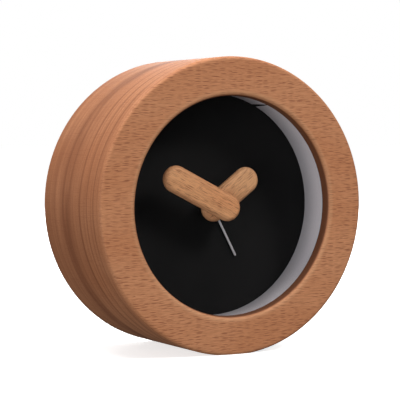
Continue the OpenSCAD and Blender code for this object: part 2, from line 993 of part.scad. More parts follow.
module hour_wheel() {
    color([0.93, 0.93, 0.9]) in_clock() {
        difference() {
            union() {
                work_gear([0, 0], hour_n, hour_turn, hour_layer_z);
                post([0, 0], hour_tube_r, hour_layer_z, hour_hand_z + hour_bush_h);
            }
            post([0, 0], hour_tube_in, hour_layer_z - cut, hour_hand_z + hour_bush_h + cut);
        }
    }
}

module alarm_wheel() {
    color([0.93, 0.93, 0.9]) in_clock() {
        difference() {
            union() {
                work_gear([0, 0], alarm_n, 0, alarm_layer_z);
                post([0, 0], alarm_tube_r, alarm_layer_z, alarm_front_z + tube_proud);
            }
            post([0, 0], alarm_tube_in, alarm_layer_z - cut, alarm_front_z + cut);
        }
    }
}

// ---- Hands ----

// Wooden hand with round ends and softly rounded edges, lying along local x
module wooden_hand(reach) {
    for (x = [-hand_tail, reach]) {
        translate([x, 0, 0]) rounded_disc();
    }
    translate([-hand_tail, 0, 0]) rotate([90, 0, 90]) linear_extrude(reach + hand_tail) {
        soft_rect(-hand_w / 2, hand_w / 2, 0, hand_t, hand_round);
    }
}

module rounded_disc() {
    rotate_extrude() {
        difference() {
            soft_rect(-hand_w / 2, hand_w / 2, 0, hand_t, hand_round);
            translate([-hand_w, -cut]) square([hand_w, hand_t + 2 * cut]);
        }
    }
}

module minute_hand() {
    color([0.72, 0.5, 0.32]) in_clock() {
        difference() {
            translate([0, 0, minute_hand_z]) rotate([0, 0, minute_angle]) wooden_hand(minute_reach);
            post([0, 0], minute_arbor_r + bush_wall, minute_hand_z - cut, minute_hand_z + minute_bush_h);
        }
    }
}

module minute_hand_bush() {
    color([0.85, 0.7, 0.4]) in_clock() {
        ring(minute_arbor_r, minute_arbor_r + bush_wall, minute_hand_z, minute_hand_z + minute_bush_h);
    }
}

module hour_hand() {
    color([0.72, 0.5, 0.32]) in_clock() {
        difference() {
            translate([0, 0, hour_hand_z]) rotate([0, 0, hour_angle]) wooden_hand(hour_reach);
            post([0, 0], hour_tube_r + bush_wall, hour_hand_z - cut, hour_hand_z + hour_bush_h);
            post([0, 0], minute_arbor_r + loose_gap, hour_hand_z, hour_hand_z + hand_t + cut);
        }
    }
}

module hour_hand_bush() {
    color([0.85, 0.7, 0.4]) in_clock() {
        ring(hour_tube_r, hour_tube_r + bush_wall, hour_hand_z, hour_hand_z + hour_bush_h);
    }
}

module alarm_hand() {
    color([0.75, 0.76, 0.78]) in_clock() {
        difference() {
            union() {
                post([0, 0], alarm_hub_r, alarm_hand_z, alarm_front_z);
                rotate([0, 0, alarm_angle]) {
                    block([0, -alarm_w / 2, alarm_hand_z], [alarm_reach, alarm_w / 2, alarm_front_z]);
                }
            }
            post([0, 0], alarm_tube_r, alarm_hand_z - cut, alarm_front_z + cut);
        }
    }
}

// ---- Setting knobs and switch ----

module time_set_arbor() {
    color([0.93, 0.93, 0.9]) in_clock() {
        post(time_set_at, time_shaft_r, knob_back_z + knob_floor, minute_layer_z + sink);
        post(time_set_at, set_pivot_r, minute_layer_z, case_front_z - end_shake);
        work_gear(time_set_at, time_set_n, time_set_turn, minute_layer_z);
    }
}

module alarm_set_arbor() {
    color([0.93, 0.93, 0.9]) in_clock() {
        post(alarm_set_at, alarm_shaft_r, knob_back_z + knob_floor, alarm_layer_z + sink);
        post(alarm_set_at, set_pivot_r, alarm_layer_z, case_front_z - end_shake);
        work_gear(alarm_set_at, alarm_set_n, alarm_set_turn, alarm_layer_z);
    }
}

// Grooved knob with a blind hole for its shaft
module knob(at, shaft_r) {
    translate([at[0], at[1], knob_back_z]) {
        difference() {
            union() {
                cylinder(r = knob_r, h = knob_h - knob_step_h);
                cylinder(r = knob_r - knob_step, h = knob_h);
            }
            for (i = [0:knob_grooves - 1]) {
                rotate([0, 0, i * 360 / knob_grooves]) translate([knob_r + groove_out, 0, -cut]) {
                    cylinder(r = groove_r, h = knob_h + 2 * cut);
                }
            }
            translate([0, 0, knob_floor]) cylinder(r = shaft_r, h = knob_h);
            translate([0, 0, -cut]) cylinder(r = knob_r - knob_rim, h = cut + knob_dish);
        }
    }
}

module time_set_knob() {
    color([0.15, 0.15, 0.15]) in_clock() {
        knob(time_set_at, time_shaft_r);
    }
}

module alarm_set_knob() {
    color([0.15, 0.15, 0.15]) in_clock() {
        knob(alarm_set_at, alarm_shaft_r);
    }
}

// Block of the given width and height, centred on the z axis
module centred(size, z0, z1) {
    block([-size[0] / 2, -size[1] / 2, z0], [size[0] / 2, size[1] / 2, z1]);
}

module alarm_switch() {
    color([0.85, 0.85, 0.83]) in_clock() {
        translate([switch_at[0], switch_at[1], 0]) {
            centred([stem_w, stem_w], cap_front_z - stem_lap, back_wall_z + keeper_t);
            centred(keeper, back_wall_z + keeper_lift, back_wall_z + keeper_lift + keeper_t);
            centred([nib_w, nib_w], back_wall_z + keeper_t, board_z - nib_gap);
            centred(cap, cap_back_z, cap_front_z);
            for (x = [-2:1:2]) {
                translate([x, 0, 0]) centred([ridge_w, cap[1]], cap_back_z - ridge_h, cap_back_z + sink);
            }
        }
    }
}
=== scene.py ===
import json
import math

import bmesh
import bpy
from mathutils import Matrix, Vector


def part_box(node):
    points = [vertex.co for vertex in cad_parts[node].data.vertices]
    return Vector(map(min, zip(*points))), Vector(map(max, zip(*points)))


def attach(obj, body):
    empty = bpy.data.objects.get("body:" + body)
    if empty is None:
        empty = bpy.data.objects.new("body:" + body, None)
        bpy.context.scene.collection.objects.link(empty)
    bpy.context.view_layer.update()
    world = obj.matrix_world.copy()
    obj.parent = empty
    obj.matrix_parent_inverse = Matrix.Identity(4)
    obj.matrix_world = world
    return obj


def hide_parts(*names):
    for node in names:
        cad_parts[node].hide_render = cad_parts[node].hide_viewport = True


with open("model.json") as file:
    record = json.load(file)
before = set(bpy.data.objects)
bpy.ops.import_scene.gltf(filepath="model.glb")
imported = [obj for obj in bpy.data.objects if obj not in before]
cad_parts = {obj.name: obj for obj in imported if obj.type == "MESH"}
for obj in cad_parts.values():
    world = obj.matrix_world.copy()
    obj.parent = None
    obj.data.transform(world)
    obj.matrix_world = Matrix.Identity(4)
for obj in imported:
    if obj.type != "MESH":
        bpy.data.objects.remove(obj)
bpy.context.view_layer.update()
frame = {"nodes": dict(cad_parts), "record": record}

MM = 0.001

# ---------------------------------------------------------------- sizes, from the CAD nodes

body_low, body_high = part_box("body")
front_y = body_low.y
back_y = body_high.y
minute_joint = next(j for j in frame["record"]["behaviour"]["joints"] if j["name"] == "minute_turn")
axis_z = minute_joint["pos_m"][2]
case_r = body_high.z - axis_z

lens_low, lens_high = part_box("lens")
lens_r = (lens_high.x - lens_low.x) / 2
dial_low, dial_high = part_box("dial")
dial_r = (dial_high.x - dial_low.x) / 2
spacer_low, spacer_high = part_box("spacer_ring")
cover_low, cover_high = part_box("rear_cover")
alarm_low, alarm_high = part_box("alarm_hand")

# the opening and the two clearances repeat the CAD's own sizes
opening_r = 40.6 * MM
bore_gap = 0.1 * MM
recess_gap = 0.2 * MM
bore_r = lens_r + bore_gap
recess_r = (cover_high.x - cover_low.x) / 2 + recess_gap
case_depth = back_y - front_y
TO_MM = 1000.0


# ---------------------------------------------------------------- mesh helpers


def new_object(name, bm, sharp=40.0):
    """Object from a bmesh, smooth shaded with edges over sharp degrees kept crisp."""
    bmesh.ops.recalc_face_normals(bm, faces=bm.faces)
    me = bpy.data.meshes.new(name)
    bm.to_mesh(me)
    bm.free()
    for p in me.polygons:
        p.use_smooth = True
    me.set_sharp_from_angle(angle=math.radians(sharp))
    ob = bpy.data.objects.new(name, me)
    bpy.context.scene.collection.objects.link(ob)
    return ob


def arc(cx, cz, r, a0, a1, n):
    """Points of an arc in the (radius, depth) plane, degrees."""
    out = []
    for i in range(n + 1):
        a = math.radians(a0 + (a1 - a0) * i / n)
        out.append((cx + r * math.cos(a), cz + r * math.sin(a)))
    return out


def lathe(name, profile, steps=256, start=0.0, end=360.0, sharp=40.0, shape=None):
    """Turns a closed (radius, y) profile about the clock axis; shape may move each vertex."""
    bm = bmesh.new()
    whole = abs(end - start - 360.0) < 1e-6
    count = steps if whole else steps + 1
    rings = []
    for i in range(count):
        a = math.radians(start + (end - start) * i / steps)
        ring = []
        for r, y in profile:
            p = Vector((r * math.cos(a), y, axis_z + r * math.sin(a)))
            if shape:
                p = shape(p, a, r, y)
            ring.append(bm.verts.new(p))
        rings.append(ring)
    n = len(profile)
    for i in range(count if whole else count - 1):
        one, two = rings[i], rings[(i + 1) % count]
        for k in range(n):
            m = (k + 1) % n
            bm.faces.new((one[k], one[m], two[m], two[k]))
    if not whole:
        bm.faces.new(rings[0])
        bm.faces.new(list(reversed(rings[-1])))
    return new_object(name, bm, sharp)


def disc(name, r, y_front, y_back, hole=0.0, edge=0.0002, steps=192):
    """Flat disc about the clock axis with small bevels, as concentric rings."""
    lo, hi = min(y_front, y_back), max(y_front, y_back)
    spans = [hole + (r - edge - hole) * k / 12 for k in range(13)]
    front = [(s, lo) for s in spans]
    back = [(s, hi) for s in reversed(spans)]
    low_edge = arc(r - edge, lo + edge, edge, -90, 0, 4)[1:]
    high_edge = arc(r - edge, hi - edge, edge, 0, 90, 4)[:-1]
    profile = front + low_edge + high_edge + back
    if hole <= 0:
        profile[0] = (1e-5, lo)
        profile[-1] = (1e-5, hi)
    return lathe(name, profile, steps)


def stadium(reach, tail, half, count):
    """Outline of a hand as (x, z, nx, nz), anticlockwise, with its outward normals."""
    out = []
    for i in range(count):
        a = -math.pi / 2 + math.pi * i / (count - 1)
        out.append((reach + half * math.cos(a), half * math.sin(a), math.cos(a), math.sin(a)))
    steps = 20
    for i in range(1, steps):
        out.append((reach + (-tail - reach) * i / steps, half, 0.0, 1.0))
    for i in range(count):
        a = math.pi / 2 + math.pi * i / (count - 1)
        out.append((-tail + half * math.cos(a), half * math.sin(a), math.cos(a), math.sin(a)))
    for i in range(1, steps):
        out.append((-tail + (reach + tail) * i / steps, -half, 0.0, -1.0))
    return out


# ---------------------------------------------------------------- node helpers


class Graph:
    """Short hand for building a material's nodes."""

    def __init__(self, name):
        self.mat = bpy.data.materials.new(name)
        self.mat.use_nodes = True
        self.tree = self.mat.node_tree
        self.tree.nodes.clear()
        self.out = self.tree.nodes.new("ShaderNodeOutputMaterial")
        self.bsdf = self.tree.nodes.new("ShaderNodeBsdfPrincipled")
        self.tree.links.new(self.bsdf.outputs[0], self.out.inputs["Surface"])

    def node(self, kind, inputs=None, **props):
        n = self.tree.nodes.new(kind)
        for k, v in props.items():
            setattr(n, k, v)
        for k, v in (inputs or {}).items():
            self.put(n.inputs[k], v)
        return n

    def put(self, socket, value):
        if isinstance(value, bpy.types.NodeSocket):
            self.tree.links.new(value, socket)
        else:
            socket.default_value = value

    def math(self, op, a, b=0.0, c=0.0, clamp=False):
        n = self.node("ShaderNodeMath", operation=op, use_clamp=clamp)
        for s, v in zip(n.inputs, (a, b, c)):
            self.put(s, v)
        return n.outputs[0]

    def vmath(self, op, a, b=(0, 0, 0), scale=None):
        n = self.node("ShaderNodeVectorMath", operation=op)
        self.put(n.inputs[0], a)
        if op != "SCALE":
            self.put(n.inputs[1], b)
        if scale is not None:
            self.put(n.inputs["Scale"], scale)
        return n.outputs["Value"] if op in ("LENGTH", "DOT_PRODUCT", "DISTANCE") else n.outputs[0]

    def smooth(self, value, low, high, to_low=0.0, to_high=1.0):
        n = self.node("ShaderNodeMapRange", interpolation_type="SMOOTHSTEP")
        for s, v in zip(n.inputs, (value, low, high, to_low, to_high)):
            self.put(s, v)
        return n.outputs[0]

    def noise(self, vector, scale=1.0, detail=2.0, rough=0.5):
        inputs = {"Vector": vector, "Scale": scale, "Detail": detail, "Roughness": rough}
        n = self.node("ShaderNodeTexNoise", inputs)
        return n.outputs

    def mix(self, factor, a, b, blend="MIX"):
        n = self.node("ShaderNodeMix", data_type="RGBA", blend_type=blend)
        self.put(n.inputs[0], factor)
        self.put(n.inputs[6], a)
        self.put(n.inputs[7], b)
        return n.outputs[2]

    def ramp(self, value, stops):
        n = self.node("ShaderNodeValToRGB", {"Fac": value})
        el = n.color_ramp.elements
        while len(el) < len(stops):
            el.new(0.5)
        for e, (pos, col) in zip(el, stops):
            e.position = pos
            e.color = col if len(col) == 4 else (*col, 1.0)
        return n.outputs["Color"]

    def millimetres(self):
        """Object coordinates in millimetres."""
        tc = self.node("ShaderNodeTexCoord")
        return self.vmath("SCALE", tc.outputs["Object"], scale=TO_MM)

    def normal(self):
        return self.node("ShaderNodeTexCoord").outputs["Normal"]

    def bump(self, height, strength, distance, under=None):
        inputs = {"Height": height, "Strength": strength, "Distance": distance}
        n = self.node("ShaderNodeBump", inputs)
        if under is not None:
            self.put(n.inputs["Normal"], under)
        return n.outputs["Normal"]

    def set(self, **values):
        names = {
            "color": "Base Color",
            "rough": "Roughness",
            "metal": "Metallic",
            "normal": "Normal",
            "alpha": "Alpha",
            "spec": "Specular IOR Level",
        }
        for k, v in values.items():
            self.put(self.bsdf.inputs[names[k]], v)
        return self.mat


def srgb(r, g, b):
    """Linear colour from 8 bit sRGB."""
    out = []
    for c in (r, g, b):
        c /= 255.0
        out.append(c / 12.92 if c <= 0.04045 else ((c + 0.055) / 1.055) ** 2.4)
    return (*out, 1.0)


# ---------------------------------------------------------------- beech


def beech(name, rings, light=(216, 152, 110), warm=(204, 137, 95), flecks=0.66, lip_r=None):
    """Solid beech: fibres along X, growth layers stacked along Y, rays as short dark dashes."""
    g = Graph(name)
    p = g.millimetres()
    sway = g.noise(p, 0.022, 1.0)["Color"]
    sway = g.vmath("MULTIPLY", g.vmath("SUBTRACT", sway, (0.5, 0.5, 0.5)), (0.0, 2.2, 5.0))
    q = g.vmath("ADD", p, sway)

    def dashes(cell, half, keep, seed):
        # one spindle per cell, long along the fibre, thin across it
        v = g.vmath("MULTIPLY", q, tuple(1.0 / c for c in cell))
        v = g.vmath("ADD", v, (seed, seed * 0.7, seed * 1.3))
        vor = g.node("ShaderNodeTexVoronoi", {"Vector": v, "Scale": 1.0, "Randomness": 1.0})
        d = g.vmath("SUBTRACT", v, vor.outputs["Position"])
        d = g.vmath("LENGTH", g.vmath("MULTIPLY", d, tuple(c / h for c, h in zip(cell, half))))
        luck = g.node("ShaderNodeSeparateColor", {"Color": vor.outputs["Color"]})
        shown = g.smooth(luck.outputs[0], 1.0 - keep, 1.0 - keep * 0.3)
        return g.math("MULTIPLY", g.smooth(d, 0.3, 1.0, 1.0, 0.0), shown)

    big = dashes((3.6, 9.0, 0.8), (2.0, 8.0, 0.21), 0.85, 3.1)
    small = dashes((2.6, 6.0, 0.46), (1.5, 5.0, 0.13), 0.9, 11.7)
    rays = g.math("ADD", big, g.math("MULTIPLY", small, 0.55), clamp=True)

    split = g.node("ShaderNodeSeparateXYZ", {"Vector": q})
    depth = g.math("MULTIPLY_ADD", split.outputs[1], rings[1], rings[0])
    layer = g.ramp(depth, [(t, (v, v, v)) for t, v in rings[2]])
    thin = g.noise(g.vmath("MULTIPLY", q, (0.03, 1.1, 0.03)), 1.0, 2.0, 0.6)[0]
    fibre = g.noise(g.vmath("MULTIPLY", p, (0.16, 2.4, 2.4)), 1.0, 3.0, 0.6)[0]
    broad = g.noise(g.vmath("MULTIPLY", p, (0.018, 0.03, 0.045)), 1.0, 2.0)[0]
    grainy = g.noise(g.vmath("MULTIPLY", p, (0.5, 5.0, 5.0)), 1.0, 1.0)[0]

    facing = g.node("ShaderNodeSeparateXYZ", {"Vector": g.normal()})
    on_face = g.math("POWER", g.math("ABSOLUTE", facing.outputs[1]), 2.0)
    end_grain = g.math("POWER", g.math("ABSOLUTE", facing.outputs[0]), 2.0)

    colour = g.mix(g.smooth(broad, 0.3, 0.72), srgb(*light), srgb(*warm))
    patchy = g.noise(g.vmath("MULTIPLY", p, (0.03, 0.25, 0.03)), 1.0, 3.0, 0.6)[0]
    layer = g.math("MULTIPLY", layer, g.smooth(patchy, 0.3, 0.62, 0.6, 1.12))
    ring_dark = g.math("MULTIPLY", layer, g.math("MULTIPLY_ADD", on_face, -0.9, 1.0))
    colour = g.mix(g.math("MULTIPLY", ring_dark, 0.8), colour, srgb(116, 66, 42))
    streak = g.smooth(thin, 0.42, 0.66)
    streak = g.math("MULTIPLY", streak, g.math("MULTIPLY_ADD", on_face, -0.42, 0.42))
    colour = g.mix(streak, colour, srgb(138, 84, 56))
    colour = g.mix(g.math("MULTIPLY", g.smooth(fibre, 0.35, 0.75), 0.42), colour, srgb(150, 90, 56))
    colour = g.mix(g.math("MULTIPLY", g.smooth(grainy, 0.5, 0.8), 0.2), colour, srgb(228, 180, 138))
    ray_show = g.math("MULTIPLY", rays, g.math("MULTIPLY_ADD", on_face, flecks - 0.16, 0.16))
    colour = g.mix(ray_show, colour, srgb(118, 54, 36))
    colour = g.mix(g.math("MULTIPLY", end_grain, 0.4), colour, srgb(140, 84, 54))
    if lip_r:
        # painted shade: the turned wall of the opening is darkened where it lies in shadow
        c = g.node("ShaderNodeSeparateXYZ", {"Vector": p})
        up = g.math("SUBTRACT", c.outputs[2], axis_z * TO_MM)
        across = g.node("ShaderNodeCombineXYZ", {"X": c.outputs[0], "Z": up})
        radius = g.vmath("LENGTH", across.outputs[0])
        wall_shade = g.smooth(radius, lip_r + 0.12, lip_r + 0.5, 1.0, 0.0)
        colour = g.mix(g.math("MULTIPLY", wall_shade, 0.88), colour, srgb(98, 58, 38))
        # painted highlight: a lighter band on the rounded edge in front of the opening wall
        rise = g.smooth(radius, lip_r + 0.4, lip_r + 0.8)
        fall = g.smooth(radius, lip_r + 1.4, lip_r + 2.6, 1.0, 0.0)
        edge_highlight = g.math("MULTIPLY", rise, fall)
        colour = g.mix(g.math("MULTIPLY", edge_highlight, 0.2), colour, srgb(232, 184, 140))

    rough = g.math("MULTIPLY_ADD", fibre, 0.16, 0.54)
    height = g.math("SUBTRACT", g.math("MULTIPLY", fibre, 0.35), rays)
    return g.set(color=colour, rough=rough, spec=0.24, normal=g.bump(height, 0.2, 0.0001))


# growth layers as (place from front to back, darkness)
CASE_LAYERS = [
    (0.0, 0.0), (0.04, 0.1), (0.088, 0.16), (0.106, 0.9), (0.122, 0.16), (0.2, 0.14),
    (0.222, 0.95), (0.238, 0.18), (0.318, 0.2), (0.342, 0.95), (0.362, 0.3), (0.45, 0.36),
    (0.492, 0.42), (0.53, 0.95), (0.64, 1.0), (0.68, 0.55), (0.75, 0.4), (0.79, 0.62),
    (0.84, 0.55), (0.88, 0.4), (0.94, 0.58), (1.0, 0.5),
]
HAND_LAYERS = [(0.0, 0.1), (0.4, 0.2), (0.55, 0.6), (0.7, 0.2), (1.0, 0.5)]

case_rings = (-front_y / case_depth, 1 / (case_depth * TO_MM), CASE_LAYERS)
beech_case = beech("beech_case", case_rings, lip_r=opening_r * TO_MM)
MINUTE_LIGHT = (252, 192, 140)
MINUTE_WARM = (238, 166, 114)
HOUR_LIGHT = (250, 196, 146)
HOUR_WARM = (238, 176, 126)
HAND_FLECKS = 0.6
minute_rings = (0.5, 0.12, HAND_LAYERS)
hour_rings = (0.4, 0.1, HAND_LAYERS)
beech_minute = beech("beech_minute", minute_rings, MINUTE_LIGHT, MINUTE_WARM, HAND_FLECKS)
beech_hour = beech("beech_hour", hour_rings, HOUR_LIGHT, HOUR_WARM, HAND_FLECKS)


# ---------------------------------------------------------------- other materials


def matte_black(name):
    g = Graph(name)
    p = g.millimetres()
    tone = g.noise(p, 0.03, 2.0)[0]
    grain = g.noise(p, 2.5, 2.0, 0.6)[0]
    vor = g.node("ShaderNodeTexVoronoi", {"Vector": p, "Scale": 0.22, "Randomness": 1.0})
    luck = g.node("ShaderNodeSeparateColor", {"Color": vor.outputs["Color"]})
    speck = g.math("LESS_THAN", vor.outputs["Distance"], 0.032)
    speck = g.math("MULTIPLY", speck, g.math("GREATER_THAN", luck.outputs[0], 0.55))
    deep_black = (0.0026, 0.0026, 0.0028, 1)
    worn_black = (0.006, 0.0056, 0.0058, 1)
    colour = g.mix(g.smooth(tone, 0.3, 0.7), deep_black, worn_black)
    colour = g.mix(g.math("MULTIPLY", speck, 0.35), colour, (0.12, 0.12, 0.13, 1))
    rough = g.math("MULTIPLY_ADD", grain, 0.1, 0.6)
    return g.set(color=colour, rough=rough, spec=0.2, normal=g.bump(grain, 0.04, 0.00002))


def plastic(name, colour, rough=0.45, grain=4.0, strength=0.12, tint=0.12, spec=0.45):
    """Moulded plastic with a fine spark-eroded texture and slow tone changes."""
    g = Graph(name)
    p = g.millimetres()
    fine = g.noise(p, grain, 3.0, 0.65)[0]
    slow = g.noise(p, 0.06, 2.0)[0]
    dark = tuple(c * (1 - tint) for c in colour[:3])
    col = g.mix(g.smooth(slow, 0.3, 0.7), (*colour[:3], 1), (*dark, 1))
    col = g.mix(g.math("MULTIPLY", g.smooth(fine, 0.55, 0.8), tint), col, (*dark, 1))
    return g.set(color=col, rough=g.math("MULTIPLY_ADD", fine, 0.14, rough - 0.07), spec=spec,
                 normal=g.bump(fine, strength, 0.00005))


def metal(name, colour, rough=0.3, stretch=(0.4, 8.0, 8.0), spots=0.2):
    """Metal with drawn or turned scratches and a little tarnish."""
    g = Graph(name)
    p = g.millimetres()
    lines = g.noise(g.vmath("MULTIPLY", p, stretch), 1.0, 4.0, 0.7)[0]
    stain = g.noise(p, 0.35, 3.0)[0]
    dull = tuple(c * 0.72 for c in colour[:3])
    col = g.mix(g.math("MULTIPLY", g.smooth(stain, 0.5, 0.8), spots), (*colour[:3], 1), (*dull, 1))
    return g.set(color=col, metal=1.0, rough=g.math("MULTIPLY_ADD", lines, 0.2, rough - 0.08),
                 normal=g.bump(lines, 0.08, 0.00003))


def spacer_material(name):
    """Pale satin strip, darkened towards the dial by painted shade, with a painted reflection of
    the lens edge as a cool line along its front edge.
    """
    g = Graph(name)
    p = g.millimetres()
    xyz = g.node("ShaderNodeSeparateXYZ", {"Vector": p})
    rub = g.noise(g.vmath("MULTIPLY", p, (0.5, 4.0, 0.5)), 1.0, 3.0, 0.6)[0]
    slow = g.noise(p, 0.05, 2.0)[0]
    col = g.mix(g.smooth(slow, 0.3, 0.7), srgb(232, 226, 231), srgb(222, 217, 223))
    col = g.mix(g.math("MULTIPLY", g.smooth(rub, 0.5, 0.75), 0.2), col, srgb(165, 162, 170))
    near_lens = spacer_low.y * TO_MM
    near_dial = spacer_high.y * TO_MM
    # painted shade: the strip darkens, mottled, with depth towards the dial, where less light
    # reaches into the opening
    mottle = g.noise(p, 1.6, 2.0, 0.6)[0]
    depth = g.math("MULTIPLY_ADD", mottle, 3.0, xyz.outputs[1])
    recess_shade = g.smooth(depth, near_lens + 2.0, near_dial + 1.5)
    col = g.mix(g.math("MULTIPLY", recess_shade, 0.62), col, srgb(128, 126, 131))
    # painted reflection: a cool line along the front edge, standing for the tint of the lens edge
    lens_edge_reflection = g.smooth(xyz.outputs[1], near_lens + 0.4, near_lens + 1.0, 1.0, 0.0)
    col = g.mix(g.math("MULTIPLY", lens_edge_reflection, 0.85), col, srgb(206, 232, 248))
    return g.set(color=col, rough=g.math("MULTIPLY_ADD", rub, 0.15, 0.36), spec=0.4,
                 normal=g.bump(rub, 0.1, 0.00004))


def lens_material(name):
    g = Graph(name)
    p = g.millimetres()
    smear = g.noise(p, 0.05, 3.0)[0]
    rough = g.smooth(smear, 0.4, 0.8, 0.02, 0.07)
    return g.set(color=(0.01, 0.012, 0.014, 1.0), rough=rough, spec=0.5, alpha=0.03)


def plywood(name):
    g = Graph(name)
    p = g.millimetres()
    xyz = g.node("ShaderNodeSeparateXYZ", {"Vector": p})
    layer = g.math("PINGPONG", xyz.outputs[1], 1.0)
    fibre = g.noise(g.vmath("MULTIPLY", p, (0.1, 1.0, 2.2)), 1.0, 3.0, 0.6)[0]
    col = g.mix(g.smooth(fibre, 0.35, 0.7), srgb(214, 180, 132), srgb(186, 146, 98))
    col = g.mix(g.math("MULTIPLY", g.smooth(layer, 0.4, 0.6), 0.4), col, srgb(150, 108, 70))
    return g.set(color=col, rough=0.6, spec=0.3, normal=g.bump(fibre, 0.2, 0.0001))


def board(name):
    """Green solder mask with faint copper tracks."""
    g = Graph(name)
    p = g.millimetres()
    inputs = {"Vector": p, "Scale": 0.55}
    vor = g.node("ShaderNodeTexVoronoi", inputs, distance="MANHATTAN", feature="F1")
    track = g.smooth(g.math("PINGPONG", vor.outputs["Distance"], 0.25), 0.1, 0.14)
    col = g.mix(track, srgb(18, 74, 46), srgb(34, 108, 66))
    speck = g.noise(p, 2.2, 3.0)[0]
    col = g.mix(g.math("MULTIPLY", g.smooth(speck, 0.6, 0.75), 0.4), col, srgb(60, 130, 86))
    return g.set(color=col, rough=0.38, spec=0.5, normal=g.bump(track, 0.2, 0.00004))


def windings(name):
    """Enamelled copper wire, wound round the coil's length."""
    g = Graph(name)
    p = g.millimetres()
    xyz = g.node("ShaderNodeSeparateXYZ", {"Vector": p})
    wire = g.math("PINGPONG", g.math("MULTIPLY", xyz.outputs[2], 4.0), 1.0)
    slow = g.noise(p, 0.8, 2.0)[0]
    col = g.mix(g.smooth(wire, 0.1, 0.9), srgb(120, 52, 22), srgb(206, 116, 62))
    col = g.mix(g.math("MULTIPLY", slow, 0.3), col, srgb(160, 80, 36))
    return g.set(color=col, metal=0.9, rough=0.32, normal=g.bump(wire, 0.5, 0.00008))


MATERIALS = {
    "pale_plastic": spacer_material("pale_plastic"),
    "clear_lens": lens_material("clear_lens"),
    "black_dial": matte_black("black_dial"),
    "plywood": plywood("plywood"),
    "black_plastic": plastic("black_plastic", (0.017, 0.017, 0.018), 0.5, 1.6, 0.6, 0.4),
    "dark_plastic": plastic("dark_plastic", (0.045, 0.045, 0.048), 0.36, 5.0, 0.2, 0.25),
    "white_plastic": plastic("white_plastic", (0.72, 0.71, 0.67), 0.38, 6.0, 0.08, 0.08),
    "bright_steel": metal("bright_steel", (0.62, 0.62, 0.64), 0.28),
    "black_steel": metal("black_steel", (0.03, 0.03, 0.032), 0.42),
    "soft_iron": metal("soft_iron", (0.36, 0.36, 0.38), 0.42),
    "magnet": metal("magnet", (0.14, 0.14, 0.15), 0.36),
    "copper": windings("copper"),
    "brass": metal("brass", (0.74, 0.52, 0.22), 0.26),
    "board_green": board("board_green"),
    "cell_jacket": plastic("cell_jacket", (0.04, 0.045, 0.055), 0.3, 3.0, 0.06, 0.2, 0.5),
    "satin_aluminium": metal("satin_aluminium", (0.86, 0.84, 0.87), 0.5),
    "beech_case": beech_case,
    "beech_hands": beech_minute,
}


def dress(ob, slot, material=None):
    ob.data.materials.clear()
    ob.data.materials.append(material or MATERIALS[slot])


for sub in frame["record"]["subparts"]:
    dress(frame["nodes"][sub["node"]], sub["material_slot"])


def bevelled(node, width, segments=3):
    """Small rounded edges on a CAD node, by modifier only."""
    ob = frame["nodes"][node]
    mod = ob.modifiers.new("edge", "BEVEL")
    mod.width = width
    mod.segments = segments
    mod.limit_method = "ANGLE"
    mod.angle_limit = math.radians(40)
    mod.harden_normals = False


# ---------------------------------------------------------------- case

outer_edge = 1.3 * MM
inner_edge = 1.7 * MM
recess_edge = 0.6 * MM
lip_y = lens_low.y
ledge_y = cover_low.y
CASE_STEPS = 384


def profile_of_case():
    pts = []
    # front face, from the opening to the outside
    pts += arc(opening_r + inner_edge, front_y + inner_edge, inner_edge, 180, 270, 10)
    for k in range(1, 12):
        r0, r1 = opening_r + inner_edge, case_r - outer_edge
        pts.append((r0 + (r1 - r0) * k / 12, front_y))
    pts += arc(case_r - outer_edge, front_y + outer_edge, outer_edge, -90, 0, 8)
    for k in range(1, 24):
        y0, y1 = front_y + outer_edge, back_y - outer_edge
        pts.append((case_r, y0 + (y1 - y0) * k / 24))
    pts += arc(case_r - outer_edge, back_y - outer_edge, outer_edge, 0, 90, 8)
    pts += arc(recess_r + recess_edge, back_y - recess_edge, recess_edge, 90, 180, 5)
    pts += [(recess_r, ledge_y), (bore_r, ledge_y), (bore_r, lip_y), (opening_r, lip_y)]
    return pts


def flatten_base(p, a, r, y):
    p.z = max(p.z, 0.0)
    return p


case = lathe("case_wood", profile_of_case(), CASE_STEPS, sharp=35.0, shape=flatten_base)
dress(case, "beech_case")
# painted shade: the bore behind the lens gets the black dial material, standing for the shade
# inside it
inside_by = 0.1 * MM
behind_by = 0.01 * MM
case.data.materials.append(MATERIALS["black_dial"])
for face in case.data.polygons:
    spots = [case.data.vertices[v].co for v in face.vertices]
    inside = all(math.hypot(v.x, v.z - axis_z) < recess_r - inside_by for v in spots)
    behind = all(v.y > lip_y - behind_by for v in spots)
    if inside and behind:
        face.material_index = 1
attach(case, "case")
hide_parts("body")

# ---------------------------------------------------------------- spacer strip, dial and lens

strip_t = 1.5 * MM
spacer_in = lens_r - strip_t
# the seam's place and half widths in degrees, and how its width grows towards the dial
seam_reach = 12.0
seam_at = 63.4
seam_dial = 1.35
seam_lens = 0.2
seam_rate = 1.25
seam_curve = 0.8
STRIP_STEPS = 300


def taper_seam(p, a, r, y):
    """Opens the seam at the dial and closes it towards the lens, by turning its two ends."""
    back = (y - spacer_low.y) / (spacer_high.y - spacer_low.y)
    grown = min(1.0, max(0.0, back * seam_rate - (seam_rate - 1.0))) ** seam_curve
    half = seam_lens + (seam_dial - seam_lens) * grown
    deg = math.degrees(a) - seam_at
    near = max(0.0, 1.0 - min(deg, 360.0 - deg) / seam_reach)
    turn = half * near * (1 if deg < 180.0 else -1)
    b = math.radians(seam_at + deg + turn)
    return Vector((r * math.cos(b), y, axis_z + r * math.sin(b)))


